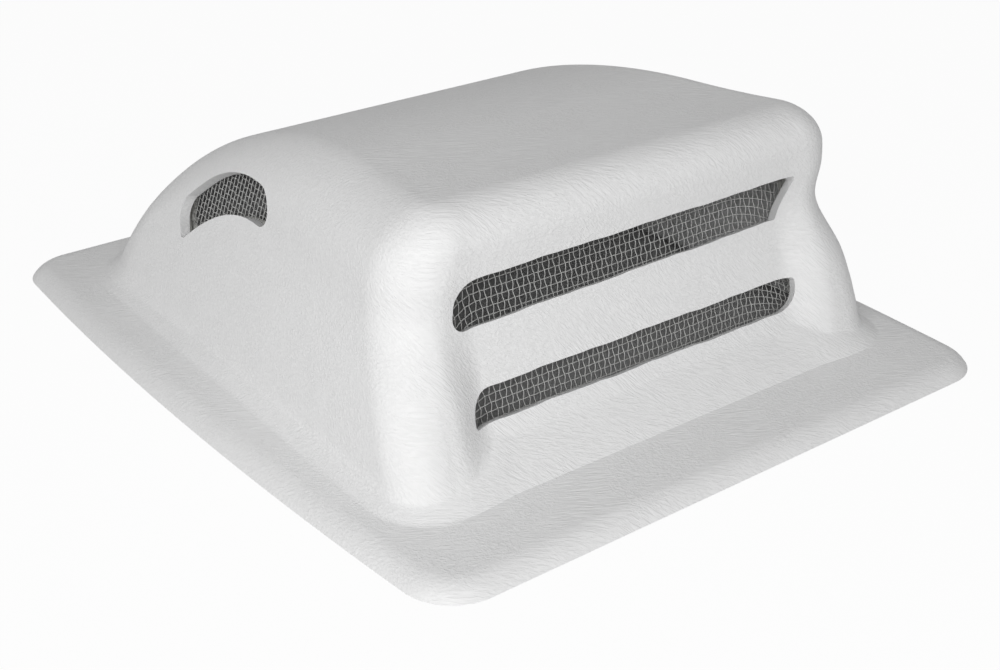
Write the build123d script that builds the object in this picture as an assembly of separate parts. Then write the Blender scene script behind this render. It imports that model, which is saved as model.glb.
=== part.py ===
from build123d import *
import os
from math import atan, cos, radians, sin, sqrt, tan

import numpy as np

os.makedirs("parts", exist_ok=True)

# Vent cap of a caravan roof: one white plastic sheet drawn into a streamlined dome on a
# flat flange, with insect screens glued behind its openings. All sizes are millimetres.
# The origin is the middle of the flange's underside. +Z is up, the slotted front faces -Y
# and the roof slopes down to the back, +Y.

# Sheet
SHEET = 3.0                      # thickness, as the cut edges of the openings show it

# Flange
FLANGE_WIDTH = 157.5             # across the corners
FLANGE_DEPTH = 192.0
SIDE_BOW = 4.1                   # how far each side stands out at its middle
CORNER_RADIUS = 11.0
EDGE_ROLL = 7.0                  # radius of the rolled outer edge, cut off by the underside
FOOT_RADIUS = 4.2                # outside radius between the flange and the dome

# Dome walls at six heights above the underside, from the foot to above the shoulder:
# height, half width at the front, distance of the front corners from the origin, depth of
# the slotted panel behind the corners, plan radius of the front corners
FOOT = (4.0, 68.2, 71.7, 1.0, 10.0)
APRON = (12.0, 68.0, 69.0, 4.5, 10.0)
LOWER_BAND = (22.0, 66.8, 65.7, 4.5, 11.0)
NECK = (36.0, 63.5, 59.6, 1.5, 13.0)
BROW = (46.0, 63.3, 60.8, 0.6, 13.5)
CREST = (58.0, 60.4, 61.8, 0.1, 13.5)
LEVELS = (FOOT, APRON, LOWER_BAND, NECK, BROW, CREST)
PANEL_HALF_WIDTH = 43.0          # flat part of the slotted panel
PANEL_SIDE = 12.0                # width over which the panel runs out into a corner
TAPER_FOOT = 3.6                 # narrowing of each side from front to back, at the foot
TAPER_PER_RISE = 0.29            # and what it gains for each millimetre of height
TAPER_START = -60.0              # where along the depth the narrowing starts
TAPER_RUN = 120.0                # length over which the narrowing is measured
BACK_LINE = 85.9                 # distance of the back wall from the origin
BACK_LEAN = 0.3                  # how far the back wall leans in for each millimetre up
BACK_CORNER_RADIUS = 23.7

# Roof line of the dome along its depth, and the shoulder between roof and walls
ROOF_HEIGHT = 58.6               # where the roof is level
ROOF_LEVEL_AT = -24.0
FRONT_RISE_RADIUS = 333.0        # the roof curves gently up from there to the front
ROOF_RADIUS = 150.0              # and down to the back, in two arcs
ROOF_ARC = radians(29.2)
TAIL_RADIUS = 90.0
TAIL_ARC = radians(45.8)
SHOULDER_RADIUS = 10.0

# Openings
UPPER_SLOT = (-49.0, 46.8, 33.8, 44.8)      # left, right, bottom, top, on the outer face
UPPER_SLOT_RADII = (3.6, 0.8, 0.8, 5.2)     # corners: left bottom, right bottom, right top, left top
UPPER_SLOT_SLANT = 3.6                      # how much shorter it is along the bottom
LOWER_SLOT = (-48.4, 46.6, 13.4, 20.7)
LOWER_SLOT_RADII = (1.0, 6.0, 0.8, 4.5)
LOWER_SLOT_SLANT = 0.0
CRESCENT_CENTRE = (5.0, -8.8)    # centre of its arcs: along Y, height
CRESCENT_RADIUS = 50.9           # of its middle line
CRESCENT_WIDTH = 9.4
CRESCENT_FRONT = radians(90.0)   # direction of its round front end from the centre of the arcs
CRESCENT_BACK = radians(43.5)    # and of its straight back end
CRESCENT_BACK_CORNERS = (3.8, 1.8)          # radii of the back end's corners, outer and inner

# Insect screens and their adhesive
SCREEN = 0.6                     # thickness of the screen over its crossings
SCREEN_PITCH = 4.0               # pitch of the gaps of the simplified screen
SCREEN_BAR = 0.9                 # bar between two gaps
FRONT_MARGIN = 4.2               # how far the front screen runs past the slots
FRONT_SIDE_EXTRA = 1.2           # and how much further at its two ends
FRONT_FOOT_EXTRA = 2.0           # and along its foot
FRONT_CORNER = 2.0               # radius of its corners
SIDE_MARGIN = 3.2                # how far a side screen runs past its crescent
SIDE_BACK_GROWTH = 2.5           # how many margins it runs past the crescent's back end
SCREEN_BORDER = 1.8              # border without gaps, which the adhesive holds
FRONT_SCREEN_LEAN = tan(radians(13.8))      # how far the front screen leans back per millimetre
SEAT = 0.15                      # clearance of a screen from the plastic
BEAD_OUTSIDE = 1.0               # how far the adhesive runs past a screen's edge
BEAD_BEHIND = 0.9                # how far it stands over the screen's inner face
BEAD_DEPTH = 6.5                 # and how far it reaches from there to the wall at most

# Construction
FOOT_OVERLAP = 0.3               # how far a skin runs past the plane on which it stands
REACH = 110.0                    # longer than any half size of the cap
SPOKE_START = (38.0, -52.5)      # the slices' points lie on spokes from the ridge at the front
FRONT_SPOKES = 9                 # how many of them meet half the front
CORNER_TURNS = (-80.0, -10.0)    # directions of those that fan out over a front corner
CORNER_SPOKES = 8
CORNER_FAN = 50.0                # how far they are drawn
SIDE_SPOKES = 12
BACK_TURNS = (12.0, 78.0)        # and of those that meet a back corner
BACK_CORNER_SPOKES = 6
BACK_SPOKES = 8
FOOT_SLICES = (0.0, 0.08, 0.3, 0.6, 1.0)    # heights of the slices as shares of the flare
WALL_SLICES = 10
SHOULDER_START = 8.0             # how far below the level roof the closer slices start
SHOULDER_SLICES = (5.4, 3.2, 1.5, 0.5, 0.1)
CREST_SLICES = (0.1, 0.4, 0.7, 0.85)        # shares of the rise of the roof to the front
HALVINGS = 40                    # steps that find the skin between a point inside and one outside
ON_SKIN = 1e-7


def level_value(z, column):
    """Return one column of LEVELS at height z, on a smooth curve through the levels."""
    heights = [level[0] for level in LEVELS]
    values = [level[column] for level in LEVELS]
    slopes = np.gradient(values, heights)
    z = min(max(z, heights[0]), heights[-1])
    i = min(int(np.searchsorted(heights, z, side="right")) - 1, len(heights) - 2)
    step = heights[i + 1] - heights[i]
    t = (z - heights[i]) / step
    return (
        values[i] * (1 + 2 * t) * (1 - t) ** 2
        + values[i + 1] * t**2 * (3 - 2 * t)
        + slopes[i] * step * t * (1 - t) ** 2
        - slopes[i + 1] * step * t**2 * (1 - t)
    )


def round_max(a, b, radius):
    """Join two signed distances as an intersection whose edge is rounded to the radius."""
    rounded = np.hypot(np.maximum(radius + a, 0), np.maximum(radius + b, 0))
    return np.minimum(-radius, np.maximum(a, b)) + rounded


def front_rise(y):
    """Return how far the roof line has risen at y, in front of where it is level."""
    front = np.maximum(ROOF_LEVEL_AT - y, 0)
    return FRONT_RISE_RADIUS - np.sqrt(FRONT_RISE_RADIUS**2 - front**2)


def roof(y):
    """Return the roof line's height at y and the cosine of its slope."""
    back = np.maximum(y - ROOF_LEVEL_AT, 0)
    tail_centre = (ROOF_RADIUS - TAIL_RADIUS) * sin(ROOF_ARC)
    tail_base = ROOF_HEIGHT - ROOF_RADIUS + (ROOF_RADIUS - TAIL_RADIUS) * cos(ROOF_ARC)
    on_roof = np.minimum(back, ROOF_RADIUS * sin(ROOF_ARC))
    on_tail = np.clip(back - tail_centre, TAIL_RADIUS * sin(ROOF_ARC), TAIL_RADIUS * sin(TAIL_ARC))
    height = np.where(
        back < ROOF_RADIUS * sin(ROOF_ARC),
        ROOF_HEIGHT - ROOF_RADIUS + np.sqrt(ROOF_RADIUS**2 - on_roof**2) + front_rise(y),
        tail_base + np.sqrt(TAIL_RADIUS**2 - on_tail**2),
    )
    straight = np.maximum(back - tail_centre - TAIL_RADIUS * sin(TAIL_ARC), 0)
    height = height - straight * tan(TAIL_ARC)
    slope = np.where(
        back < ROOF_RADIUS * sin(ROOF_ARC),
        on_roof / np.sqrt(ROOF_RADIUS**2 - on_roof**2),
        on_tail / np.sqrt(TAIL_RADIUS**2 - on_tail**2),
    )
    return height, 1 / np.hypot(1, slope)


def corner_distance(across, along, radius):
    """Signed distance from a rounded corner, from the distances past its two sides."""
    outside = np.hypot(np.maximum(across + radius, 0), np.maximum(along + radius, 0))
    return outside + np.minimum(np.maximum(across, along) + radius, 0) - radius


def wall_distance(x, y, z):
    """Return the signed distance of points at one height from the dome's walls."""
    rise = min(max(z, FOOT[0]), CREST[0]) - FOOT[0]
    taper = (TAPER_FOOT + TAPER_PER_RISE * rise) / TAPER_RUN
    side = np.abs(x) - level_value(z, 1) + taper * np.maximum(y - TAPER_START, 0)
    run_out = np.clip((PANEL_HALF_WIDTH + PANEL_SIDE - np.abs(x)) / PANEL_SIDE, 0, 1)
    panel = level_value(z, 3) * run_out**2 * (3 - 2 * run_out)
    front = corner_distance(side, panel - level_value(z, 2) - y, level_value(z, 4))
    back = corner_distance(side, y - BACK_LINE + BACK_LEAN * rise, BACK_CORNER_RADIUS)
    return np.where(y > 0, back, front)


def dome_distance(x, y, z, inset):
    """Return the signed distance from the dome's skin, moved inwards by the inset."""
    height, cosine = roof(y)
    skin = round_max(wall_distance(x, y, z), (z - height) * cosine, SHOULDER_RADIUS)
    return skin + inset


def spokes():
    """Return start points and directions in plan that reach every part of the skin once."""
    start_x, start_y = SPOKE_START
    half = FOOT[1]
    corner_start = BACK_LINE - BACK_CORNER_RADIUS
    ends = [(x, -REACH) for x in np.linspace(0, start_x, FRONT_SPOKES)]
    for turn in np.radians(np.linspace(*CORNER_TURNS, CORNER_SPOKES)):
        ends.append((start_x + CORNER_FAN * cos(turn), start_y + CORNER_FAN * sin(turn)))
    ends += [(half, y) for y in np.linspace(start_y, corner_start, SIDE_SPOKES)]
    for turn in np.radians(np.linspace(*BACK_TURNS, BACK_CORNER_SPOKES)):
        x = half - BACK_CORNER_RADIUS * (1 - cos(turn))
        ends.append((x, corner_start + BACK_CORNER_RADIUS * sin(turn)))
    ends += [(x, BACK_LINE) for x in np.linspace(start_x, 0, BACK_SPOKES)]
    ends = np.array(ends)
    ends = np.concatenate([ends, ends[-2:0:-1] * (-1, 1)])
    starts = np.stack([np.clip(ends[:, 0], -start_x, start_x), np.full(len(ends), start_y)], 1)
    away = ends - starts
    return starts, away / np.linalg.norm(away, axis=1)[:, None]


def skin_slice(z, base, inset, foot):
    """Return the closed curve in which the skin meets the plane at height z."""
    starts, away = spokes()
    inner = np.zeros(len(starts))
    outer = np.full(len(starts), 2 * BACK_LINE)
    for _ in range(HALVINGS):
        middle = (inner + outer) / 2
        points = starts + away * middle[:, None]
        dome = dome_distance(points[:, 0], points[:, 1], z, inset)
        skin = -round_max(-dome, base - z, foot)
        inside = skin < -ON_SKIN
        inner = np.where(inside, middle, inner)
        outer = np.where(inside, outer, middle)
    points = starts + away * inner[:, None]
    return Wire(Spline(*[(px, py, z) for px, py in points], periodic=True))


def skin_solid(base, inset, foot):
    """Return the solid under the skin: the dome and the flare of its foot."""
    top = ROOF_HEIGHT - inset
    crest = front_rise(SPOKE_START[1])
    heights = [base + foot * share for share in FOOT_SLICES]
    heights += list(np.linspace(base + foot, top - SHOULDER_START, WALL_SLICES)[1:])
    heights += [top - drop for drop in SHOULDER_SLICES]
    heights += [top + crest * share for share in CREST_SLICES]
    slices = [skin_slice(z, base, inset, foot) for z in heights]
    return Solid.make_loft(slices)


def flange_plate():
    """Return the flange: a plate of the sheet's thickness whose edge rolls down all round."""
    overhang = EDGE_ROLL - sqrt(EDGE_ROLL**2 - (EDGE_ROLL - SHEET) ** 2)
    x = FLANGE_WIDTH / 2 + overhang
    y = FLANGE_DEPTH / 2 + overhang
    outline = Wire(
        [
            Line((-x, -y), (x, -y)),
            ThreePointArc((x, -y), (x + SIDE_BOW, 0), (x, y)),
            Line((x, y), (-x, y)),
            ThreePointArc((-x, y), (-x - SIDE_BOW, 0), (-x, -y)),
        ]
    )
    face = fillet(Face(outline).vertices(), CORNER_RADIUS + overhang)
    block = Pos(0, 0, -EDGE_ROLL) * extrude(face, SHEET + EDGE_ROLL)
    block = fillet(block.faces().sort_by(Axis.Z)[-1].edges(), EDGE_ROLL)
    return block - Pos(0, 0, -EDGE_ROLL) * Box(3 * x, 3 * y, 2 * EDGE_ROLL)


def panel_line(z):
    """Return how far along Y the slotted panel's outer face stands at height z."""
    return level_value(z, 3) - level_value(z, 2)


def panel_plane():
    """Return the plane in which the slots are drawn: it leans back with the panel."""
    lean = atan((panel_line(NECK[0]) - panel_line(APRON[0])) / (NECK[0] - APRON[0]))
    return Plane(
        origin=(0, panel_line(LOWER_BAND[0]), LOWER_BAND[0]),
        x_dir=(1, 0, 0),
        z_dir=(0, -cos(lean), sin(lean)),
    )


def slot_cutter(slot, radii, slant):
    """Return the tool that cuts one front slot square to the panel."""
    left, right, bottom, top = slot
    plane = panel_plane()
    corners = []
    for x, z in ((left, bottom), (right - slant, bottom), (right, top), (left, top)):
        local = plane.to_local_coords(Vector(x, panel_line(z), z))
        corners.append((local.X, local.Y))
    face = make_face(Polyline(*corners, close=True))
    for corner, radius in zip(corners, radii):
        nearest = face.vertices().sort_by_distance((*corner, 0))[0]
        face = fillet(nearest, radius)
    return plane * extrude(face, 4 * SHEET, both=True)


def crescent_face(margin):
    """Return the crescent drawn along Y and Z, grown by the margin, and more at its back end."""
    centre = Vector(*CRESCENT_CENTRE)
    half = CRESCENT_WIDTH / 2 + margin
    back = CRESCENT_BACK - SIDE_BACK_GROWTH * margin / CRESCENT_RADIUS
    middle = (CRESCENT_FRONT + back) / 2

    def at(radius, angle):
        return centre + Vector(radius * cos(angle), radius * sin(angle))

    outer = CRESCENT_RADIUS + half
    inner = CRESCENT_RADIUS - half
    tip = at(CRESCENT_RADIUS, CRESCENT_FRONT) - Vector(half, 0)
    back_corners = (at(outer, back), at(inner, back))
    edges = [
        ThreePointArc(back_corners[0], at(outer, middle), at(outer, CRESCENT_FRONT)),
        ThreePointArc(at(outer, CRESCENT_FRONT), tip, at(inner, CRESCENT_FRONT)),
        ThreePointArc(at(inner, CRESCENT_FRONT), at(inner, middle), back_corners[1]),
        Line(back_corners[1], back_corners[0]),
    ]
    face = Sketch() + make_face(Wire(edges))
    for corner, radius in zip(back_corners, CRESCENT_BACK_CORNERS):
        nearest = face.vertices().sort_by_distance(corner)[0]
        face = fillet(nearest, radius + margin / 2)
    return face


def front_face(margin):
    """Return the outline of the front screen along X and Z, grown by the margin."""
    left = UPPER_SLOT[0] - margin - FRONT_SIDE_EXTRA
    right = UPPER_SLOT[1] + margin + FRONT_SIDE_EXTRA
    bottom = LOWER_SLOT[2] - margin - FRONT_FOOT_EXTRA
    top = UPPER_SLOT[3] + margin
    middle = Pos((left + right) / 2, (bottom + top) / 2)
    return middle * RectangleRounded(right - left, top - bottom, FRONT_CORNER)


def screen_gaps(face):
    """Return the square gaps of a screen that fit inside the face."""
    box = face.bounding_box()
    columns = int(box.size.X / SCREEN_PITCH)
    rows = int(box.size.Y / SCREEN_PITCH)
    gap = SCREEN_PITCH - SCREEN_BAR
    middle = box.center()
    gaps = []
    for place in GridLocations(SCREEN_PITCH, SCREEN_PITCH, columns, rows):
        square = Pos(middle.X, middle.Y) * place * Rectangle(gap, gap)
        if all(face.face().is_inside(corner.center()) for corner in square.vertices()):
            gaps.append(square)
    return gaps


def slab(plane, behind, ahead):
    """Return a wide slab on a plane, from a distance behind it to a distance ahead of it."""
    middle = (ahead - behind) / 2
    return plane * Pos(0, 0, middle) * Box(2 * REACH, 2 * REACH, ahead + behind)


def inner_wall(start, direction):
    """Return the distance from a start point to the inner skin, along a direction."""
    near = 0.0
    far = REACH
    for _ in range(HALVINGS):
        middle = (near + far) / 2
        x, y, z = (s + middle * d for s, d in zip(start, direction))
        if dome_distance(x, y, z, SHEET) < 0:
            near = middle
        else:
            far = middle
    return near


def front_screen_plane():
    """Return the plane of the front screen's inner face, pointing outwards."""
    left, right, bottom, top = UPPER_SLOT[0], UPPER_SLOT[1], LOWER_SLOT[2], UPPER_SLOT[3]
    foot = -REACH
    for x in np.linspace(left - FRONT_MARGIN, right + FRONT_MARGIN, 9):
        for z in np.linspace(bottom - FRONT_MARGIN, top + FRONT_MARGIN, 20):
            wall = -inner_wall((x, 0, z), (0, -1, 0))
            foot = max(foot, wall - FRONT_SCREEN_LEAN * z)
    normal = Vector(0, -1, FRONT_SCREEN_LEAN).normalized()
    inner_face = Vector(0, foot, 0) - normal * (SEAT + SCREEN)
    return Plane(origin=inner_face, x_dir=(1, 0, 0), z_dir=normal)


def side_screen_plane():
    """Return the plane of the left screen's inner face, pointing outwards."""
    outline = crescent_face(0).face().outer_wire()
    spots = [outline @ share for share in np.linspace(0, 1, 60)]
    wall = np.array([-inner_wall((0, s.X, s.Y), (-1, 0, 0)) for s in spots])
    terms = np.array([(1, s.X, s.Y) for s in spots])
    base, along, up = np.linalg.lstsq(terms, wall, rcond=None)[0]
    base += np.max(wall - terms @ (base, along, up))
    normal = Vector(-1, along, up).normalized()
    inner_face = Vector(base, 0, 0) - normal * (SEAT + SCREEN)
    return Plane(origin=inner_face, x_dir=(0, 0, 1), z_dir=normal)


def screen_and_adhesive(outline_face, margin, view, reach, plane, cavity):
    """Return a flat screen and the adhesive that joins its border to the inner wall.

    The outline is drawn in the plane of view and carried square to it over the reach; the
    screen lies in its own plane, and the adhesive fills the space from there to the wall.
    """
    edge = outline_face(margin)
    open_part = outline_face(margin - SCREEN_BORDER)
    past_edge = outline_face(margin + BEAD_OUTSIDE)
    layer = slab(plane, 0, SCREEN)
    gaps = Sketch() + screen_gaps(open_part)
    sheet = (extrude(view * edge, reach) & layer) & cavity
    screen = sheet - extrude(view * gaps, reach)
    bead = extrude(view * past_edge, reach) & slab(plane, BEAD_BEHIND, BEAD_DEPTH) & cavity
    bead = bead - extrude(view * open_part, reach) - (extrude(view * edge, reach) & layer)
    return screen, bead


def cap_parts():
    """Return every piece of the cap by name."""
    cavity = Part() + skin_solid(-FOOT_OVERLAP, SHEET, FOOT_RADIUS + SHEET)
    dome = Part() + skin_solid(SHEET - FOOT_OVERLAP, 0.0, FOOT_RADIUS)
    shell = flange_plate() + dome - cavity
    shell = shell - slot_cutter(UPPER_SLOT, UPPER_SLOT_RADII, UPPER_SLOT_SLANT)
    shell = shell - slot_cutter(LOWER_SLOT, LOWER_SLOT_RADII, LOWER_SLOT_SLANT)
    shell = shell - Plane.YZ * extrude(crescent_face(0), REACH, both=True)

    front, front_bead = screen_and_adhesive(
        front_face, FRONT_MARGIN, Plane.XZ, REACH, front_screen_plane(), cavity
    )
    left, left_bead = screen_and_adhesive(
        crescent_face, SIDE_MARGIN, Plane.YZ, -REACH, side_screen_plane(), cavity
    )
    return {
        "cap_shell": shell,
        "front_screen": front,
        "front_screen_adhesive": front_bead,
        "left_screen": left,
        "left_screen_adhesive": left_bead,
        "right_screen": mirror(left, Plane.YZ),
        "right_screen_adhesive": mirror(left_bead, Plane.YZ),
    }


for name, piece in cap_parts().items():
    export_step(piece, f"parts/{name}.step")
    print(name, round(piece.volume), len(piece.solids()), piece.is_valid)
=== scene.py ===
from math import atan2, cos, pi, radians, sin, tan

import bpy
import numpy as np
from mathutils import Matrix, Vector


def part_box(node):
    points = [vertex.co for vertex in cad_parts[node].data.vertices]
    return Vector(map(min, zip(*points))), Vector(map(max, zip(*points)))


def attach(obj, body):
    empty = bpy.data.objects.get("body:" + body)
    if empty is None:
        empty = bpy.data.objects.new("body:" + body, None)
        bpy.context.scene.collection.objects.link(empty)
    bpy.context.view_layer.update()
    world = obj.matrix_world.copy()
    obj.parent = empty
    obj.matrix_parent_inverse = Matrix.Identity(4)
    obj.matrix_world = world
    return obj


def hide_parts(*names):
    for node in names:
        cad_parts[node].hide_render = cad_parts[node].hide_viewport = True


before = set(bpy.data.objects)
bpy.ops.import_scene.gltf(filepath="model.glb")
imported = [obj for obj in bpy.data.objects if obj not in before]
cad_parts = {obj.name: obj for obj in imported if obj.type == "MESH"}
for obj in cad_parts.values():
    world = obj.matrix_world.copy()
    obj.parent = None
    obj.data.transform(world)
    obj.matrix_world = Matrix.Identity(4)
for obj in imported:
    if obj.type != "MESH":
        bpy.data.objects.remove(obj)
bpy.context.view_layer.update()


# Cap sheet
# One white ABS sheet, 3 mm thick, heated and drawn over a male tool: flange, walls, shoulder
# and roof are one skin. Its openings are routed by hand afterwards.
# All shape values are millimetres, with the origin at the middle of the flange's underside.
SHEET = 3.0
FLANGE_HALF = (80.0, 97.25)        # of the outline before its rolled edge is cut at the underside
FLANGE_CORNER = 12.25
SIDE_BOW = 4.1
EDGE_ROLL = 7.0
FOOT_RADIUS = 4.2
SHOULDER_RADIUS = 10.0
LEVEL_HEIGHTS = (4.0, 12.0, 22.0, 36.0, 46.0, 58.0)
HALF_WIDTHS = (68.2, 68.0, 66.8, 63.5, 63.3, 60.4)
CORNER_LINES = (71.7, 69.0, 65.7, 59.6, 60.8, 61.8)
PANEL_RECESSES = (1.0, 4.5, 4.5, 1.5, 0.6, 0.1)
CORNER_RADII = (10.0, 10.0, 11.0, 13.0, 13.5, 13.5)
PANEL_HALF_WIDTH = 43.0            # flat part of the slotted panel
PANEL_SIDE = 12.0                  # width over which it runs out into a corner
TAPER_FOOT = 3.6                   # narrowing of each side from front to back, at the foot
TAPER_PER_RISE = 0.29              # and what it gains for each millimetre of height
TAPER_START = -60.0
TAPER_RUN = 120.0
BACK_LINE = 85.9                   # distance of the back wall from the origin, at the foot
BACK_LEAN = 0.3                    # how far it leans in for each millimetre up
BACK_CORNER_RADIUS = 23.7
ROOF_HEIGHT = 58.6                 # where the roof is level
ROOF_LEVEL_AT = -24.0
FRONT_RISE_RADIUS = 333.0
ROOF_RADIUS, ROOF_ARC = 150.0, radians(29.2)
TAIL_RADIUS, TAIL_ARC = 90.0, radians(45.8)
REACH = 110.0                      # farther out than any point of the dome
TINY = 1e-9


def across_levels(z, values):
    """A smooth curve through one value per level: a cubic between each two levels whose
    slopes at the levels are the means of the neighbouring chords."""
    heights = np.array(LEVEL_HEIGHTS)
    values = np.array(values)
    slopes = np.gradient(values, heights)
    z = np.clip(z, heights[0], heights[-1])
    i = np.clip(np.searchsorted(heights, z, side="right") - 1, 0, len(heights) - 2)
    step = heights[i + 1] - heights[i]
    t = (z - heights[i]) / step
    level = values[i] * (1 + 2 * t) * (1 - t) ** 2 + values[i + 1] * t**2 * (3 - 2 * t)
    lean = slopes[i] * t * (1 - t) ** 2 - slopes[i + 1] * t**2 * (1 - t)
    return level + step * lean


def round_max(a, b, radius):
    """The larger of two distances, with the corner between them rounded: minus the radius or
    the larger one, whichever is less, plus the length of what both reach above -radius."""
    reach = np.hypot(np.maximum(radius + a, 0), np.maximum(radius + b, 0))
    return np.minimum(-radius, np.maximum(a, b)) + reach


def corner_distance(across, along, radius):
    """Distance from two walls that meet in a rounded corner, from how far past each it is."""
    outside = np.hypot(np.maximum(across + radius, 0), np.maximum(along + radius, 0))
    return outside + np.minimum(np.maximum(across, along) + radius, 0) - radius


def roof_line(y):
    """Height and slope of the roof along the depth: a slow rise to the front, an arc to the
    back, then a tighter one that goes on where it ends, then its tangent."""
    back = np.maximum(y - ROOF_LEVEL_AT, 0)
    front = np.maximum(ROOF_LEVEL_AT - y, 0)
    tail_centre = (ROOF_RADIUS - TAIL_RADIUS) * sin(ROOF_ARC)
    tail_base = ROOF_HEIGHT - ROOF_RADIUS + (ROOF_RADIUS - TAIL_RADIUS) * cos(ROOF_ARC)
    roof_end = ROOF_RADIUS * sin(ROOF_ARC)
    tail_end = TAIL_RADIUS * sin(TAIL_ARC)
    on_roof = np.minimum(back, roof_end)
    on_tail = np.clip(back - tail_centre, TAIL_RADIUS * sin(ROOF_ARC), tail_end)
    straight = np.maximum(back - tail_centre - tail_end, 0)
    rise = FRONT_RISE_RADIUS - np.sqrt(FRONT_RISE_RADIUS**2 - front**2)
    over_roof_centre = np.sqrt(ROOF_RADIUS**2 - on_roof**2)
    over_tail_centre = np.sqrt(TAIL_RADIUS**2 - on_tail**2)
    near = ROOF_HEIGHT - ROOF_RADIUS + over_roof_centre + rise
    far = tail_base + over_tail_centre - straight * tan(TAIL_ARC)
    near_slope = on_roof / over_roof_centre
    far_slope = on_tail / over_tail_centre
    before_tail = back < roof_end
    return np.where(before_tail, near, far), np.where(before_tail, near_slope, far_slope)


def dome_distance(x, y, z):
    """Distance of points from the dome's outer skin, negative inside. The walls are a
    rounded rectangle that changes with height, its sides drawn in to the back, and its front
    set back between the corners. The roof line closes it over a rounded shoulder."""
    rise = np.clip(z, LEVEL_HEIGHTS[0], LEVEL_HEIGHTS[-1]) - LEVEL_HEIGHTS[0]
    taper = (TAPER_FOOT + TAPER_PER_RISE * rise) / TAPER_RUN
    side = np.abs(x) - across_levels(z, HALF_WIDTHS) + taper * np.maximum(y - TAPER_START, 0)
    run_out = np.clip((PANEL_HALF_WIDTH + PANEL_SIDE - np.abs(x)) / PANEL_SIDE, 0, 1)
    recess = across_levels(z, PANEL_RECESSES) * run_out**2 * (3 - 2 * run_out)
    ahead = recess - across_levels(z, CORNER_LINES) - y
    front = corner_distance(side, ahead, across_levels(z, CORNER_RADII))
    back = corner_distance(side, y - BACK_LINE + BACK_LEAN * rise, BACK_CORNER_RADIUS)
    wall = np.where(y > 0, back, front)
    height, slope = roof_line(y)
    return round_max(wall, (z - height) / np.hypot(1, slope), SHOULDER_RADIUS)


def skin_distance(x, y, z, inset):
    """Distance from the outer skin moved in by the inset, with its foot flared out on to the
    flange by a concave radius that is concentric on both faces of the sheet."""
    dome = dome_distance(x, y, z) + inset
    return -round_max(-dome, SHEET - inset - z, FOOT_RADIUS + inset)


def flange_distance(x, y):
    """Distance in plan from the flange's outline, whose long sides bow out a little."""
    half_x, half_y = FLANGE_HALF
    bow = SIDE_BOW * np.clip(1 - (y / half_y) ** 2, 0, 1)
    return corner_distance(np.abs(x) - half_x - bow, np.abs(y) - half_y, FLANGE_CORNER)


def bisect(is_inside, near, far, steps=36):
    """Halves the span between near and far until it holds where is_inside ends."""
    for _ in range(steps):
        middle = (near + far) / 2
        inside = is_inside(middle)
        near = np.where(inside, middle, near)
        far = np.where(inside, far, middle)
    return near


# Plan of the grid: a rectangle of square-ish cells on the roof, and spokes that leave its
# edge square to the walls and run down to the flange's edge.
ROOF_PATCH = (-38.0, 38.0, -50.0, 40.0)
PATCH_CELLS = (76, 88)
SPOKE_ENDS = (-68.2, 68.2, -72.0, 84.0)
FOOT_REACH = 90.0                  # farther along a spoke than the dome's foot
FLANGE_REACH = 150.0               # and than the flange's edge
UNDER_ROOF, OVER_ROOF = 20.0, 70.0
RAYS = 500
RAY_CROWDING = 0.8                 # under 1, so the rays lie closer towards the foot
PIVOT_HEIGHT = 22.0                # of the point that the rays leave, in the front half
PIVOT_DROP = 12.0                  # how much lower it is at the patch's back edge
LEAST_SINKING = -1e-3              # rays that sink less end at the reach alone


def rectangle_edge(low_x, high_x, low_y, high_y, cells):
    """Points along a rectangle's edge, once round from its lowest corner, on its cells."""
    right = np.linspace(low_x, high_x, cells[0] + 1)[:-1]
    up = np.linspace(low_y, high_y, cells[1] + 1)[:-1]
    left = np.linspace(high_x, low_x, cells[0] + 1)[:-1]
    down = np.linspace(high_y, low_y, cells[1] + 1)[:-1]
    xs = np.concatenate([right, np.full(len(up), high_x), left, np.full(len(down), low_x)])
    ys = np.concatenate([np.full(len(right), low_y), up, np.full(len(left), high_y), down])
    return np.stack([xs, ys], 1)


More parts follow.
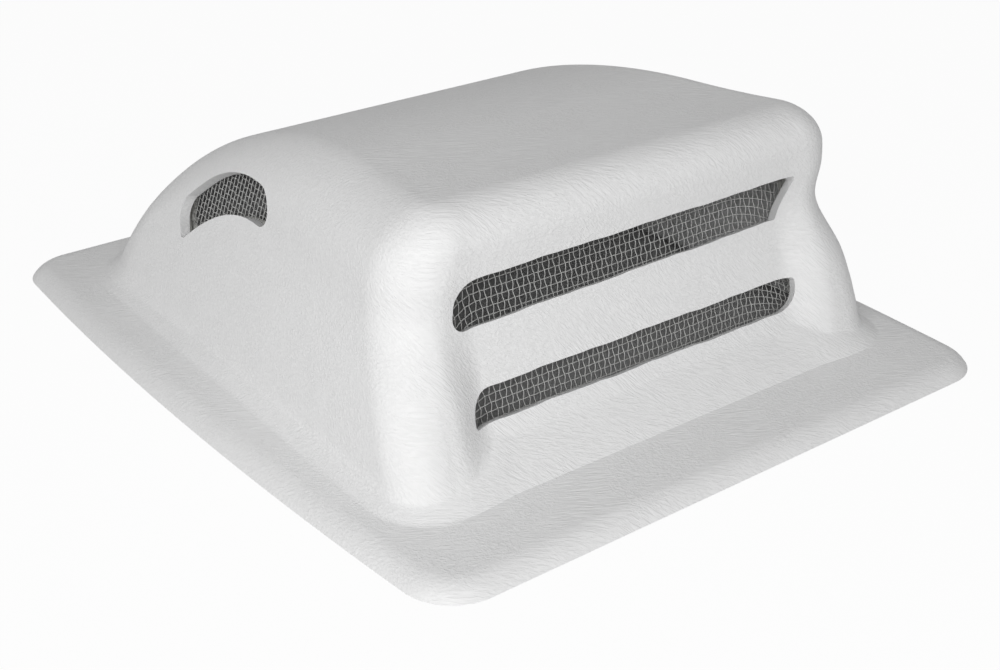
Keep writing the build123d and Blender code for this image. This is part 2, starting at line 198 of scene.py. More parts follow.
def skin_grid(inset, rings):
    """One face of the dome as rings of points round the roof patch. In each spoke's upright
    plane, rays turn from straight up to the foot about a point inside; where they leave the
    skin is a profile, which is then divided evenly along its length."""
    start = rectangle_edge(*ROOF_PATCH, PATCH_CELLS)
    end = rectangle_edge(*SPOKE_ENDS, PATCH_CELLS)
    away = (end - start) / np.linalg.norm(end - start, axis=1)[:, None]
    foot_z = SHEET - inset
    flare = FOOT_RADIUS + inset

    def in_foot(r):
        x, y = start[:, 0] + r * away[:, 0], start[:, 1] + r * away[:, 1]
        return dome_distance(x, y, np.full_like(x, foot_z)) + inset < flare

    foot_r = bisect(in_foot, np.zeros(len(start)), np.full(len(start), FOOT_REACH))
    pivot = PIVOT_HEIGHT - PIVOT_DROP * np.maximum(start[:, 1], 0) / ROOF_PATCH[3]
    lowest = np.arctan2(foot_z - pivot, foot_r)
    turn = np.linspace(0, 1, RAYS)[:, None] ** RAY_CROWDING
    angle = pi / 2 + (lowest - pi / 2) * turn

    def in_skin(r):
        out = r * np.cos(angle)
        x, y = start[:, 0] + out * away[:, 0], start[:, 1] + out * away[:, 1]
        return skin_distance(x, y, pivot + r * np.sin(angle), inset) < -TINY

    to_foot = (foot_z - pivot) / np.minimum(np.sin(angle), LEAST_SINKING)
    r = bisect(in_skin, np.zeros_like(angle), np.minimum(REACH, to_foot))
    out, up = r * np.cos(angle), pivot + r * np.sin(angle)
    out[-1], up[-1] = foot_r, foot_z
    length = np.hypot(np.diff(out, axis=0), np.diff(up, axis=0)).cumsum(0)
    length = np.concatenate([np.zeros_like(length[:1]), length])
    wanted = length[-1] * np.linspace(0, 1, rings)[:, None]
    spokes = np.arange(len(start))
    out = np.stack([np.interp(wanted[:, i], length[:, i], out[:, i]) for i in spokes], 1)
    up = np.stack([np.interp(wanted[:, i], length[:, i], up[:, i]) for i in spokes], 1)
    points = np.stack([start[:, 0] + out * away[:, 0], start[:, 1] + out * away[:, 1], up], 2)
    return points, start, away


def outline_radius(start, away, inset):
    """How far along each spoke the flange's outline lies, moved in by the inset."""

    def in_outline(r):
        return flange_distance(start[:, 0] + r * away[:, 0], start[:, 1] + r * away[:, 1]) < -inset

    return bisect(in_outline, np.zeros(len(start)), np.full(len(start), FLANGE_REACH))


def ring_quads(first, rings, count):
    """Quads between neighbouring rings of count points, numbered ring by ring from first."""
    i, j = np.meshgrid(np.arange(rings - 1), np.arange(count), indexing="ij")
    a = first + i * count + j
    b = first + i * count + (j + 1) % count
    return np.stack([a, a + count, b + count, b], 2).reshape(-1, 4)


def patch_grid(inset):
    """The roof patch on one face of the sheet: heights of the skin over a plain grid."""
    low_x, high_x, low_y, high_y = ROOF_PATCH
    x, y = np.meshgrid(
        np.linspace(low_x, high_x, PATCH_CELLS[0] + 1),
        np.linspace(low_y, high_y, PATCH_CELLS[1] + 1),
    )
    z = bisect(
        lambda z: skin_distance(x, y, z, inset) < 0,
        np.full_like(x, UNDER_ROOF), np.full_like(x, OVER_ROOF),
    )
    return np.stack([x, y, z], 2).reshape(-1, 3)


def patch_edge_numbers():
    """Numbers of the patch's edge points, in the order of rectangle_edge."""
    wide, deep = PATCH_CELLS
    number = np.arange((wide + 1) * (deep + 1)).reshape(deep + 1, wide + 1)
    return np.concatenate([number[0, :-1], number[:-1, -1], number[-1, :0:-1], number[:0:-1, 0]])


def patch_quads():
    """Quads of the roof patch, facing up."""
    wide, deep = PATCH_CELLS
    number = np.arange((wide + 1) * (deep + 1)).reshape(deep + 1, wide + 1)
    a, b = number[:-1, :-1], number[:-1, 1:]
    return np.stack([a, b, number[1:, 1:], number[1:, :-1]], 2).reshape(-1, 4)


def add_mesh(name, points_mm, faces):
    """A mesh object at the origin from points in millimetres and faces as index rows."""
    mesh = bpy.data.meshes.new(name)
    mesh.from_pydata((np.asarray(points_mm) / 1000).tolist(), [], np.asarray(faces).tolist())
    mesh.validate()
    thing = bpy.data.objects.new(name, mesh)
    bpy.context.scene.collection.objects.link(thing)
    return thing


OUTER_RINGS, INNER_RINGS = 84, 76
FLANGE_RINGS, ROLL_RINGS = 15, 10


def sheet_mesh():
    """The whole sheet: outer face from the roof patch down the walls, over the flange and
    round its rolled edge, then the underside, and back up the inner face."""
    count = 2 * sum(PATCH_CELLS)
    faces = []
    outer, start, away = skin_grid(0.0, OUTER_RINGS)
    foot = np.hypot(outer[-1, :, 0] - start[:, 0], outer[-1, :, 1] - start[:, 1])
    top_edge = outline_radius(start, away, EDGE_ROLL)
    rings = [outer[1:].reshape(-1, 3)]
    for share in np.linspace(0, 1, FLANGE_RINGS)[1:]:
        r = foot + (top_edge - foot) * share
        plan = start + r[:, None] * away
        rings.append(np.column_stack([plan, np.full(count, SHEET)]))
    full_turn = np.arcsin((EDGE_ROLL - SHEET) / EDGE_ROLL)
    for turn in np.linspace(pi / 2, full_turn, ROLL_RINGS)[1:]:
        r = outline_radius(start, away, EDGE_ROLL * (1 - cos(turn)))
        plan = start + r[:, None] * away
        height = SHEET - EDGE_ROLL + EDGE_ROLL * sin(turn)
        rings.append(np.column_stack([plan, np.full(count, height)]))
    outer_skin = np.concatenate(rings)
    inner, _, _ = skin_grid(SHEET, INNER_RINGS)
    inner_skin = inner[1:].reshape(-1, 3)

    top_patch, low_patch = patch_grid(0.0), patch_grid(SHEET)
    edge = patch_edge_numbers()
    first_outer = len(top_patch)
    first_low = first_outer + len(outer_skin)
    first_inner = first_low + len(low_patch)
    points = np.concatenate([top_patch, outer_skin, low_patch, inner_skin])
    around = np.roll(np.arange(count), -1)

    faces.append(patch_quads())
    ring = first_outer + np.arange(count)
    faces.append(np.stack([edge, ring, ring[around], edge[around]], 1))
    outer_rings = len(outer_skin) // count
    faces.append(ring_quads(first_outer, outer_rings, count))
    faces.append(patch_quads()[:, ::-1] + first_low)
    ring = first_inner + np.arange(count)
    low_edge = edge + first_low
    faces.append(np.stack([low_edge, low_edge[around], ring[around], ring], 1))
    inner_rings = len(inner_skin) // count
    faces.append(ring_quads(first_inner, inner_rings, count)[:, ::-1])
    last_outer = first_outer + (outer_rings - 1) * count + np.arange(count)
    last_inner = first_inner + (inner_rings - 1) * count + np.arange(count)
    faces.append(
        np.stack([last_outer, last_inner, last_inner[around], last_outer[around]], 1)
    )
    points[last_outer, 2] = 0.0
    points[last_inner, 2] = 0.0
    return add_mesh("cap_sheet", points, np.concatenate(faces))


def rounded_outline(corners, radii, steps=8):
    """A closed outline with each corner replaced by an arc: the arc's ends lie on both sides
    at the radius times the tangent of half the turn, and its points follow a circle."""
    corners = np.array(corners, float)
    outline = []
    for i, radius in enumerate(radii):
        here = corners[i]
        back = corners[i - 1] - here
        ahead = corners[(i + 1) % len(corners)] - here
        back, ahead = back / np.linalg.norm(back), ahead / np.linalg.norm(ahead)
        half = np.arccos(np.clip(back @ ahead, -1, 1)) / 2
        centre = here + (back + ahead) / np.linalg.norm(back + ahead) * radius / sin(half)
        first = here + back * radius / tan(half) - centre
        last = here + ahead * radius / tan(half) - centre
        share = np.linspace(0, 1, steps)
        turn = pi - 2 * half
        weights = np.stack([np.sin((1 - share) * turn), np.sin(share * turn)], 1) / sin(turn)
        outline.append(centre + weights @ np.stack([first, last]))
    return np.concatenate(outline)


ROUTER_PLANES = (40.0, 80.0)       # distances at which a tool is closed, inside and outside


def routed(name, outline, along, outward, lean, turn):
    """A tool that routs an opening through the skin. Its outline is drawn square on to the
    skin, as distances along and up. Each point is carried along the router, which leans down
    and turns aside as it goes in, to two planes that close the tool."""
    along, outward, up = np.array(along), np.array(outward), np.array((0, 0, 1))
    flat = outline[:, :1] * along + outline[:, 1:] * up
    n = len(outline)
    reach = bisect(
        lambda r: dome_distance(*(flat + r[:, None] * outward).T) < 0,
        np.zeros(n), np.full(n, REACH),
    )
    router = outward + tan(lean) * up - tan(turn) * along
    skin = flat + reach[:, None] * outward
    points = np.concatenate([skin + (plane - reach)[:, None] * router for plane in ROUTER_PLANES])
    side = np.stack([np.arange(n), np.roll(np.arange(n), -1)], 1)
    faces = np.concatenate([side, side[:, ::-1] + n], 1).tolist()
    faces += [list(range(n))[::-1], list(range(n, 2 * n))]
    mesh = bpy.data.meshes.new(name)
    mesh.from_pydata((points / 1000).tolist(), [], faces)
    tool = bpy.data.objects.new(name, mesh)
    bpy.context.scene.collection.objects.link(tool)
    return tool


def wavy(outline, size):
    """The outline of a routed opening, which wanders by the size, as a hand-guided cut does:
    each point moves by a sum of three slow sines of its place."""
    x, y = outline[:, 0], outline[:, 1]
    sway = np.sin(0.21 * x + 0.4) + 0.6 * np.sin(0.47 * x + 1.9) + 0.4 * np.sin(0.9 * x + y)
    return outline + np.stack([0 * x, size * sway], 1)


def split_long(outline, step):
    """The outline with its long sides divided into pieces no longer than the step."""
    following = np.roll(outline, -1, axis=0)
    pieces = [
        a + (b - a) * np.linspace(0, 1, max(int(np.linalg.norm(b - a) / step), 1) + 1)[:-1, None]
        for a, b in zip(outline, following)
    ]
    return np.concatenate(pieces)


# The slots: corners as (x, height) from the foot of the left end on, their radii, and how far
# the router turns aside.
UPPER_SLOT = ((-49.0, 33.3), (43.2, 34.4), (46.8, 45.1), (-49.0, 44.9))
UPPER_SLOT_RADII = (3.6, 0.8, 0.8, 5.2)
UPPER_SLOT_TURN = radians(17.0)
LOWER_SLOT = ((-47.8, 13.8), (46.6, 13.1), (46.6, 20.6), (-47.8, 20.8))
LOWER_SLOT_RADII = (1.0, 5.4, 0.8, 5.6)
LOWER_SLOT_TURN = radians(20.0)
SLOT_LEAN = radians(26.0)
SLOT_STEP = 1.5
SLOT_WANDER = 0.10


def slot_tool(name, corners, radii, turn):
    """A tool that cuts a front slot from its corners as (x, height)."""
    outline = wavy(split_long(rounded_outline(corners, radii), SLOT_STEP), SLOT_WANDER)
    return routed(name, outline, (1, 0, 0), (0, -1, 0), SLOT_LEAN, turn)


CRESCENT_CENTRE = (5.0, -8.8)      # of its arcs, as (y, height)
CRESCENT_RADIUS = 50.9             # of its middle line
CRESCENT_HALF = 4.7                # half its width
CRESCENT_BACK = radians(43.5)      # direction of its back end from the centre
CRESCENT_BACK_CORNERS = (3.8, 1.8)  # radii of its back end, at the outer and the inner arc
CRESCENT_BACK_GROWTH = 2.5         # how many margins its back end is grown by
CRESCENT_LEAN = radians(22.0)
CORNER_SWEEP = 0.08                # radians of the arcs that the back end's corners take up
ARC_POINTS, CAP_POINTS, CORNER_POINTS = 40, 16, 8


def crescent_outline(margin):
    """The crescent in the side view: two arcs about one centre, a round front end and a
    straight back end with rounded corners. It is grown by the margin, the back end more."""
    half = CRESCENT_HALF + margin
    back = CRESCENT_BACK - CRESCENT_BACK_GROWTH * margin / CRESCENT_RADIUS
    sweep = np.linspace(back + CORNER_SWEEP, pi / 2, ARC_POINTS)
    cap = np.linspace(pi / 2, 3 * pi / 2, CAP_POINTS)[1:-1]
    outer, inner = CRESCENT_RADIUS + half, CRESCENT_RADIUS - half
    centre = np.array(CRESCENT_CENTRE)
    tip = centre + (0, CRESCENT_RADIUS)
    out_back, in_back = CRESCENT_BACK_CORNERS
    ends = np.array((cos(back), sin(back)))
    corner = np.linspace(0, pi / 2, CORNER_POINTS)
    fore = np.array((-sin(back), cos(back)))
    arcs = [
        centre + outer * np.stack([np.cos(sweep), np.sin(sweep)], 1),
        tip + half * np.stack([np.cos(cap), np.sin(cap)], 1),
        centre + inner * np.stack([np.cos(sweep[::-1]), np.sin(sweep[::-1])], 1),
        centre + np.outer(inner + in_back * (1 - np.cos(corner)), ends)
        + np.outer(in_back * (1 - np.sin(corner)), fore),
        centre + np.outer(outer - out_back * (1 - np.sin(corner)), ends)
        + np.outer(out_back * (1 - np.cos(corner)), fore),
    ]
    return np.concatenate(arcs)


def cut(thing, tool):
    """Cuts the tool out of a piece and deletes the tool."""
    boolean = thing.modifiers.new("cut", "BOOLEAN")
    boolean.operation = "DIFFERENCE"
    boolean.solver = "EXACT"
    boolean.object = tool
    bpy.context.view_layer.update()
    graph = bpy.context.evaluated_depsgraph_get()
    result = bpy.data.meshes.new_from_object(thing.evaluated_get(graph))
    thing.modifiers.clear()
    thing.data = result
    bpy.data.objects.remove(tool)


SHARP_ANGLE = radians(35)
PROBE = 0.05                       # half the distance over which the skin's slope is taken
ON_SKIN = 0.03                     # how near to the skin a point counts as on it
ABOVE_FLANGE = 0.05                # how high over the flange the walls' normals start
SAME_WAY = 0.8                     # least cosine between a face's own normal and the skin's


def smooth_with_true_normals(thing):
    """Smooth shading from the skin itself: a face corner that lies on the outer or inner skin
    takes the slope of the distance there, and the faces of a cut keep their own normals."""
    mesh = thing.data
    mesh.shade_smooth()
    mesh.set_sharp_from_angle(angle=SHARP_ANGLE)
    place = np.empty(len(mesh.vertices) * 3)
    mesh.vertices.foreach_get("co", place)
    place = place.reshape(-1, 3) * 1000
    corner = np.empty(len(mesh.loops), int)
    mesh.loops.foreach_get("vertex_index", corner)
    facing = np.empty(len(mesh.polygons) * 3)
    mesh.polygons.foreach_get("normal", facing)
    sides = np.empty(len(mesh.polygons), int)
    mesh.polygons.foreach_get("loop_total", sides)
    facing = np.repeat(facing.reshape(-1, 3), sides, axis=0)
    normals = np.zeros((len(corner), 3))
    for inset, sign in ((0.0, 1.0), (SHEET, -1.0)):
        slope = np.stack(
            [
                skin_distance(*(place + step).T, inset) - skin_distance(*(place - step).T, inset)
                for step in PROBE * np.eye(3)
            ],
            1,
        )
        slope *= sign / np.maximum(np.linalg.norm(slope, axis=1, keepdims=True), TINY)
        on_skin = np.abs(skin_distance(*place.T, inset)) < ON_SKIN
        on_skin &= place[:, 2] > SHEET - inset + ABOVE_FLANGE
        true = slope[corner]
        use = on_skin[corner] & ((facing * true).sum(1) > SAME_WAY)
        normals[use] = true[use]
    mesh.normals_split_custom_set(normals.tolist())


sheet = sheet_mesh()
cut(sheet, slot_tool("upper_slot_tool", UPPER_SLOT, UPPER_SLOT_RADII, UPPER_SLOT_TURN))
cut(sheet, slot_tool("lower_slot_tool", LOWER_SLOT, LOWER_SLOT_RADII, LOWER_SLOT_TURN))
for side in (-1, 1):
    outline = crescent_outline(0.0)[::side]
    cut(sheet, routed("crescent_tool", outline, (0, 1, 0), (side, 0, 0), CRESCENT_LEAN, 0.0))
smooth_with_true_normals(sheet)


def linear(hex_colour):
    """An sRGB hex colour as linear RGBA: each channel is divided by 12.92 where it is dark,
    and otherwise raised to 2.4 after its offset."""
    channels = [int(hex_colour[i:i + 2], 16) / 255 for i in (1, 3, 5)]
    bright = [c / 12.92 if c <= 0.04045 else ((c + 0.055) / 1.055) ** 2.4 for c in channels]
    return (*bright, 1.0)


def node(tree, kind, settings=None, **links):
    """Adds a node: settings are its own properties and, by name or number, its inputs' values;
    links are inputs fed by another node's output, with _ for a space."""
    made = tree.nodes.new(kind)
    for key, value in (settings or {}).items():
        if isinstance(key, int) or key in made.inputs:
            made.inputs[key].default_value = value
        else:
            setattr(made, key, value)
    for key, source in links.items():
        name = key.replace("_", " ")
        socket = made.inputs[name] if name in made.inputs else made.inputs[int(key[1:])]
        tree.links.new(source, socket)
    return made


def new_material(name):
    """An empty node material with its principled shader."""
    material = bpy.data.materials.new(name)
    material.use_nodes = True
    return material, material.node_tree, material.node_tree.nodes["Principled BSDF"]


# Thermoformed white ABS with a haircell grain: fine creases, which the drawing has combed one
# way, down and to the right, leave it dull. They are drawn about 5 mm long and 0.6 mm wide,
# coarser than real ones, so that they show. The slow unevenness of a drawn sheet lies under them.
CREASE_LENGTH = 0.0052
CREASE_WIDTH = 0.0006
COMBED_RUNS = ((0.6, -0.45, -0.66), (0.86, -0.5, -0.1))
DRIFTS_PER_METRE = 90.0            # patches of about 11 mm in which one run or the other leads
SWELLS_PER_METRE = 38.0            # unevenness of about 26 mm
abs_sheet, tree, shader = new_material("thermoformed_haircell_abs")
shader.inputs["Roughness"].default_value = 0.6
shader.inputs["IOR"].default_value = 1.53
shader.inputs["Specular IOR Level"].default_value = 0.25
place = node(tree, "ShaderNodeTexCoord")
combed = []
for run in COMBED_RUNS:
    aligned = node(
        tree, "ShaderNodeMapping",
        {
            "vector_type": "TEXTURE",
            "Rotation": Vector(run).to_track_quat("Z", "Y").to_euler(),
            "Scale": (CREASE_WIDTH, CREASE_WIDTH, CREASE_LENGTH),
        },
        Vector=place.outputs["Object"],
    )
    combed.append(node(
        tree, "ShaderNodeTexNoise",
        {"Scale": 1.0, "Detail": 2.0, "Roughness": 0.6, "Distortion": 0.5},
        Vector=aligned.outputs[0],
    ))
drift = node(
    tree, "ShaderNodeTexNoise", {"Scale": DRIFTS_PER_METRE, "Detail": 1.0},
    Vector=place.outputs["Object"],
)
either = node(
    tree, "ShaderNodeMapRange", {"From Min": 0.42, "From Max": 0.58}, Value=drift.outputs[0]
)
hair = node(
    tree, "ShaderNodeMix", {"data_type": "FLOAT"},
    _0=either.outputs["Result"], _2=combed[0].outputs[0], _3=combed[1].outputs[0],
)
crease = node(
    tree, "ShaderNodeMapRange", {"From Min": 0.38, "From Max": 0.62}, Value=hair.outputs[0]
)
swell = node(
    tree, "ShaderNodeTexNoise", {"Scale": SWELLS_PER_METRE, "Detail": 2.0},
    Vector=place.outputs["Object"],
)
grain_bump = node(
    tree, "ShaderNodeBump", {"Strength": 0.7, "Distance": 0.0001},
    Height=crease.outputs["Result"],
)
sheet_bump = node(
    tree, "ShaderNodeBump", {"Strength": 0.2, "Distance": 0.0006},
    Height=swell.outputs[0], Normal=grain_bump.outputs["Normal"],
)
tone = node(
    tree, "ShaderNodeMix",
    {"data_type": "RGBA", 6: linear("#ECECEC"), 7: linear("#F1F1F1")},
    _0=crease.outputs["Result"],
)
tree.links.new(tone.outputs[2], shader.inputs["Base Color"])
tree.links.new(sheet_bump.outputs["Normal"], shader.inputs["Normal"])
sheet.data.materials.clear()
sheet.data.materials.append(abs_sheet)
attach(sheet, "root")
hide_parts("cap_shell")


# Front insect screen
# Plain-woven 18 by 14 cloth of coated wire about a quarter of a millimetre thick, cut to one
# rectangle that covers both slots from inside. Its upright wires are the closer ones.
WIRE = 0.24
CLOSE_PITCH = 25.4 / 18
WIDE_PITCH = 25.4 / 14
WIRE_SIDES = 4


def tubes(lines, radius):
    """Round wires along many lines at once: lines is wires by samples by three. At each
    sample a ring of points stands square to the line, its first side turned from a fixed
    direction, and both ends are closed by a cap."""
    ahead = np.gradient(lines, axis=1)
    ahead /= np.linalg.norm(ahead, axis=2, keepdims=True)
    fixed = np.array([0.31, 0.87, 0.22])
    side = np.cross(ahead, fixed)
    side /= np.linalg.norm(side, axis=2, keepdims=True)
    other = np.cross(ahead, side)
    turn = 2 * pi * np.arange(WIRE_SIDES) / WIRE_SIDES
    ring = (
        lines[:, :, None]
        + radius * np.cos(turn)[:, None] * side[:, :, None]
        + radius * np.sin(turn)[:, None] * other[:, :, None]
    )
    wires, samples = lines.shape[:2]
    w, s, k = np.meshgrid(
        np.arange(wires), np.arange(samples - 1), np.arange(WIRE_SIDES), indexing="ij"
    )
    base = w * samples * WIRE_SIDES + s * WIRE_SIDES
    a, b = base + k, base + (k + 1) % WIRE_SIDES
    quads = np.stack([a, b, b + WIRE_SIDES, a + WIRE_SIDES], -1).reshape(-1, 4)
    first = np.arange(wires)[:, None] * samples * WIRE_SIDES + np.arange(WIRE_SIDES)
    last = first + (samples - 1) * WIRE_SIDES
    return ring.reshape(-1, 3), np.concatenate([quads, first[:, ::-1], last])


POINTS_PER_CROSSING = 4


def woven(across, low, high, length, other_pitch, place_of, crimp, sway):
    """One set of a plain weave's wires. Each lies at its own place across and runs from its
    low to its high end; it rises and sinks by its crimp, a share of a wire, as a cosine of the
    crossings, and neighbouring wires do so in turn. The length of a long one gives the number
    of points on all. place_of puts (across, along, depth) into space."""
    share = np.linspace(0, 1, int(length / other_pitch * POINTS_PER_CROSSING))
    along = low[:, None] + (high - low)[:, None] * share
    phase = np.arange(len(across))[:, None] * pi
    weave = np.cos(pi * along / other_pitch + phase)
    depth = crimp * WIRE * weave
    return place_of(across[:, None] + sway * weave, along, depth)


FRONT_LEAN = radians(13.8)
CLOTH_SIDE_INSET = 0.6             # of the cloth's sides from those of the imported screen
CLOTH_END_INSET = 0.5              # and of its foot and top
CLOTH_DEPTH = 0.45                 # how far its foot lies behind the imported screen's front
FIRST_CROSS_WIRE = 0.4             # height of the lowest cross wire over the cloth's foot
FRONT_CRIMP = 0.5
UPRIGHT_SWAY = 0.10                # how far an upright wire swings aside at each crossing
LEFT_DIVE, LEFT_DIVE_START, LEFT_DIVE_WIDTH = 6.5, -39.0, 10.0
RIGHT_DIVE, RIGHT_DIVE_START, RIGHT_DIVE_WIDTH = 6.0, 32.0, 15.0
DIVE_LIMIT = 1.1                   # how many widths a dive goes on for
LIFT, LIFT_AT, LIFT_WIDTH = 0.5, 25.0, 12.0
front_low, front_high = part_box("front_screen")
front_left = front_low.x * 1000 + CLOTH_SIDE_INSET
front_right = front_high.x * 1000 - CLOTH_SIDE_INSET
front_foot_z = front_low.z * 1000 + CLOTH_END_INSET
front_top_z = front_high.z * 1000 - CLOTH_END_INSET
front_depth_y = front_low.y * 1000 + CLOTH_DEPTH
front_climb = (front_top_z - front_foot_z) / cos(FRONT_LEAN)


def on_front_screen(across, along, depth):
    """Points of the front cloth: across is X, along climbs the leaning sheet from its foot,
    and depth is outwards. The cloth was pulled down at both ends: there its cross wires dive
    by a square of the distance, most of all at half its height. Before the right end they
    lift a little."""
    left = np.clip((LEFT_DIVE_START - across) / LEFT_DIVE_WIDTH, 0, DIVE_LIMIT)
    right = np.clip((across - RIGHT_DIVE_START) / RIGHT_DIVE_WIDTH, 0, DIVE_LIMIT)
    lift = LIFT * np.exp(-((across - LIFT_AT) / LIFT_WIDTH) ** 2)
    sag = LEFT_DIVE * left**2 + RIGHT_DIVE * right**2 - lift
    climb = along - sag * np.sin(pi * np.clip(along / front_climb, 0, 1))
    y = front_depth_y + climb * sin(FRONT_LEAN) - depth * cos(FRONT_LEAN)
    z = front_foot_z + climb * cos(FRONT_LEAN) + depth * sin(FRONT_LEAN)
    return np.stack([across + 0 * along, y, z], 2)


uprights = np.arange(front_left, front_right, CLOSE_PITCH)
cross_wires = np.arange(FIRST_CROSS_WIRE, front_climb, WIDE_PITCH)
upright_lines = woven(
    uprights, np.zeros(len(uprights)), np.full(len(uprights), front_climb), front_climb,
    WIDE_PITCH, on_front_screen, FRONT_CRIMP, UPRIGHT_SWAY,
)
cross_lines = woven(
    cross_wires, np.full(len(cross_wires), front_left), np.full(len(cross_wires), front_right),
    front_right - front_left, CLOSE_PITCH,
    lambda across, along, depth: on_front_screen(along, across, -depth), FRONT_CRIMP, 0.0,
)


def screen_cloth(name, line_sets):
    """One mesh of all the wires of a piece of cloth."""
    points, faces, count = [], [], 0
    for lines in line_sets:
        ring, quads = tubes(lines, WIRE / 2)
        points.append(ring)
        faces.append(quads + count)
        count += len(ring)
    cloth = add_mesh(name, np.concatenate(points), np.concatenate(faces))
    cloth.data.shade_smooth()
    return cloth


front_cloth = screen_cloth("front_screen_cloth", [upright_lines, cross_lines])

# Bright aluminium screen wire, drawn and coated with a clear grey lacquer: a soft metal sheen
# with darker spots where the lacquer has pooled at the crossings.
SPOTS_PER_METRE = 900.0            # spots of about a millimetre
screen_wire, tree, shader = new_material("lacquered_aluminium_wire")
shader.inputs["Metallic"].default_value = 0.2
shader.inputs["Roughness"].default_value = 0.45
place = node(tree, "ShaderNodeTexCoord")
spots = node(
    tree, "ShaderNodeTexNoise", {"Scale": SPOTS_PER_METRE, "Detail": 1.0},
    Vector=place.outputs["Object"],
)
tone = node(
    tree, "ShaderNodeMix",
    {"data_type": "RGBA", 6: linear("#A2A2A0"), 7: linear("#CACAC8")},
    _0=spots.outputs[0],
)
tree.links.new(tone.outputs[2], shader.inputs["Base Color"])
front_cloth.data.materials.append(screen_wire)
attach(front_cloth, "root")
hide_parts("front_screen")


# Side insect screens
# Two pieces of the same cloth behind the crescents, turned by a quarter, so that their closer
# wires run level. Each is flat and leans in with the wall; the right one mirrors the left.
SIDE_ALONG, SIDE_UP = 0.1201, 0.3647       # X that the left plane gains per mm of Y and of Z
SIDE_MARGIN = 3.2                  # how far a packed screen runs past its crescent
SIDE_CLOTH_MARGIN = 2.6            # and the cloth
SIDE_CLOTH_DEPTH = 0.33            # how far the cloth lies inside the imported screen's outer face
EDGE_WIRE = 1.0                    # distance of the outermost wires from the cloth's edge
SIDE_HEIGHT, SIDE_LENGTH = 30.0, 46.0
SIDE_UPRIGHT_CRIMP, SIDE_LEVEL_CRIMP = 0.1, 0.9
side_low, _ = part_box("left_screen")
side_lowest = (crescent_outline(SIDE_MARGIN) @ (SIDE_ALONG, SIDE_UP)).min()
side_base = side_low.x * 1000 - side_lowest + SIDE_CLOTH_DEPTH


def on_left_screen(y, z, depth):
    """Points of the left cloth: its plane gives X from Y and Z, and depth is outwards."""
    return np.stack([side_base + SIDE_ALONG * y + SIDE_UP * z - depth, y, z], 2)


def spans(values, axis, outline):
    """Where straight lines at the given values of one coordinate cross a closed outline:
    the least and greatest of the other coordinate over all its crossing edges."""
    a, b = outline, np.roll(outline, -1, axis=0)
    v = values[:, None]
    crosses = (a[:, axis] - v) * (b[:, axis] - v) <= 0
    gap = np.where(a[:, axis] == b[:, axis], TINY, b[:, axis] - a[:, axis])
    at = a[:, 1 - axis] + (b[:, 1 - axis] - a[:, 1 - axis]) * (v - a[:, axis]) / gap
    low = np.where(crosses, at, np.inf).min(1)
    high = np.where(crosses, at, -np.inf).max(1)
    return low, high


cloth_edge = crescent_outline(SIDE_CLOTH_MARGIN)
first_y, first_z = cloth_edge.min(0) + EDGE_WIRE
last_y, last_z = cloth_edge.max(0) - EDGE_WIRE
side_uprights = np.arange(first_y, last_y, WIDE_PITCH)
side_levels = np.arange(first_z, last_z, CLOSE_PITCH)
low, high = spans(side_uprights, 0, cloth_edge)
side_upright_lines = woven(
    side_uprights, low, high, SIDE_HEIGHT, CLOSE_PITCH, on_left_screen, SIDE_UPRIGHT_CRIMP, 0.0
)
low, high = spans(side_levels, 1, cloth_edge)
side_level_lines = woven(
    side_levels, low, high, SIDE_LENGTH, WIDE_PITCH,
    lambda z, y, depth: on_left_screen(y, z, -depth), SIDE_LEVEL_CRIMP, 0.0,
)
mirror_x = np.array([-1.0, 1.0, 1.0])
for side, turn in (("left", np.ones(3)), ("right", mirror_x)):
    lines = [side_upright_lines * turn, side_level_lines * turn]
    side_cloth = screen_cloth(f"{side}_screen_cloth", lines)
    side_cloth.data.materials.append(screen_wire)
    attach(side_cloth, "root")
    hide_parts(f"{side}_screen")


# Screen adhesive
# Beads of off-white solvent adhesive, which skin over as they cure: a dull skin with shallow
# sags and pits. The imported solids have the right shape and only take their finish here.
SAGS_PER_METRE = 260.0             # sags of about 4 mm
adhesive, tree, shader = new_material("cured_solvent_adhesive")
shader.inputs["Roughness"].default_value = 0.55
shader.inputs["IOR"].default_value = 1.47
place = node(tree, "ShaderNodeTexCoord")
sags = node(
    tree, "ShaderNodeTexNoise", {"Scale": SAGS_PER_METRE, "Detail": 3.0},
    Vector=place.outputs["Object"],
)
skin = node(
    tree, "ShaderNodeBump", {"Strength": 0.6, "Distance": 0.0004}, Height=sags.outputs[0]
)
tone = node(
    tree, "ShaderNodeMix",
    {"data_type": "RGBA", 6: linear("#C9C9C4"), 7: linear("#DCDCD8")},
    _0=sags.outputs[0],
)
tree.links.new(tone.outputs[2], shader.inputs["Base Color"])
tree.links.new(skin.outputs["Normal"], shader.inputs["Normal"])
for name in ("front_screen_adhesive", "left_screen_adhesive", "right_screen_adhesive"):
    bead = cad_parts[name]
    bead.data.materials.clear()
    bead.data.materials.append(adhesive)


# Studio
# A white paper sweep that keeps the cap's soft shadow, one soft light near the camera and a
# pale room round it.
CAMERA_PLACE = (-0.2114, -0.2845, 0.1755)
CAMERA_PITCH, CAMERA_YAW = 27.05, 37.68    # degrees down and to the right
camera_data = bpy.data.cameras.new("camera")
camera_data.lens = 56.7
camera_data.sensor_width = 36.0
camera_data.clip_start = 0.01
camera = bpy.data.objects.new("camera", camera_data)
camera.location = CAMERA_PLACE
camera.rotation_euler = (radians(90 - CAMERA_PITCH), 0, radians(-CAMERA_YAW))
bpy.context.scene.collection.objects.link(camera)
bpy.context.scene.camera = camera


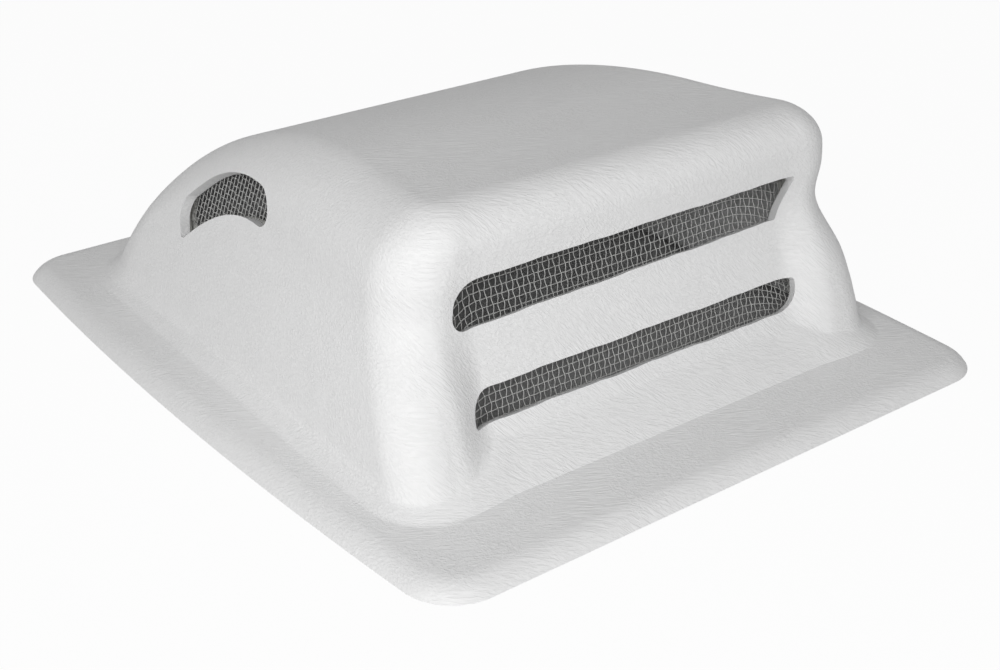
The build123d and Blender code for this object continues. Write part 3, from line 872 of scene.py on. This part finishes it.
def level_sheet(name, half_x, half_y, height):
    """A level rectangle about the origin, facing up, in metres."""
    corners = [(x * half_x, y * half_y, height) for x, y in ((-1, -1), (1, -1), (1, 1), (-1, 1))]
    mesh = bpy.data.meshes.new(name)
    mesh.from_pydata(corners, [], [(0, 1, 2, 3)])
    level = bpy.data.objects.new(name, mesh)
    bpy.context.scene.collection.objects.link(level)
    return level


def sees_white(tree):
    """One where a ray comes straight from the camera or off gloss or glass, else zero."""
    path = node(tree, "ShaderNodeLightPath")
    either = node(
        tree, "ShaderNodeMath", {"operation": "MAXIMUM"},
        _0=path.outputs["Is Camera Ray"], _1=path.outputs["Is Glossy Ray"],
    )
    return node(
        tree, "ShaderNodeMath", {"operation": "MAXIMUM"},
        _0=either.outputs[0], _1=path.outputs["Is Transmission Ray"],
    ).outputs[0]


FLOOR_WHITE_SHARE = 0.95           # the rest of the paper's look is its own, with the shadow
floor = level_sheet("floor", half_x=3.0, half_y=3.0, height=-0.0004)
floor_paper, tree, shader = new_material("white_paper_sweep")
shader.inputs["Base Color"].default_value = linear("#F4F4F4")
shader.inputs["Roughness"].default_value = 0.9
shader.inputs["Specular IOR Level"].default_value = 0.0
glow = node(tree, "ShaderNodeEmission", {"Color": (1, 1, 1, 1), "Strength": 1.0})
share = node(
    tree, "ShaderNodeMath", {"operation": "MULTIPLY", 1: FLOOR_WHITE_SHARE}, _0=sees_white(tree)
)
both = node(
    tree, "ShaderNodeMixShader", _0=share.outputs[0], _1=shader.outputs[0], _2=glow.outputs[0]
)
tree.links.new(both.outputs[0], tree.nodes["Material Output"].inputs["Surface"])
floor.data.materials.append(floor_paper)

# Painted shade: a grey card under the dome, darker than the paper, stands in for the shade inside
# the cap. It reaches under the flange all round, so that no white paper shows through the
# openings.
painted_shade_sheet = level_sheet("painted_shade_sheet", half_x=0.076, half_y=0.090, height=-0.0002)
painted_shade_card, tree, shader = new_material("painted_shade_card")
# The card's grey is painted shade, not a colour of the cap or the paper.
shader.inputs["Base Color"].default_value = linear("#C8C8C8")
shader.inputs["Roughness"].default_value = 0.9
painted_shade_sheet.data.materials.append(painted_shade_card)

ROOM_STRENGTH = 0.27
world = bpy.data.worlds.new("room")
bpy.context.scene.world = world
world.use_nodes = True
tree = world.node_tree
room = tree.nodes["Background"]
room.inputs["Color"].default_value = (1, 1, 1, 1)
room.inputs["Strength"].default_value = ROOM_STRENGTH
white = node(tree, "ShaderNodeBackground", {"Color": (1, 1, 1, 1), "Strength": 1.0})
both = node(
    tree, "ShaderNodeMixShader",
    _0=sees_white(tree), _1=room.outputs[0], _2=white.outputs[0],
)
tree.links.new(both.outputs[0], tree.nodes["World Output"].inputs["Surface"])


def soft_light(name, place, aim, width, height, watts):
    """A rectangle of light at a place, turned to its aim, with its width kept level."""
    data = bpy.data.lights.new(name, "AREA")
    data.shape = "RECTANGLE"
    data.size = width
    data.size_y = height
    data.energy = watts
    lamp = bpy.data.objects.new(name, data)
    lamp.location = place
    away = np.array(place) - np.array(aim)
    lamp.rotation_euler = (
        atan2(float(np.hypot(away[0], away[1])), away[2]), 0, atan2(away[0], -away[1])
    )
    bpy.context.scene.collection.objects.link(lamp)


soft_light(
    "key_light", place=(-0.43, -0.44, 0.33), aim=(0, -0.02, 0.02),
    width=0.60, height=0.18, watts=2.85,
)

bpy.context.scene.view_settings.view_transform = "Standard"
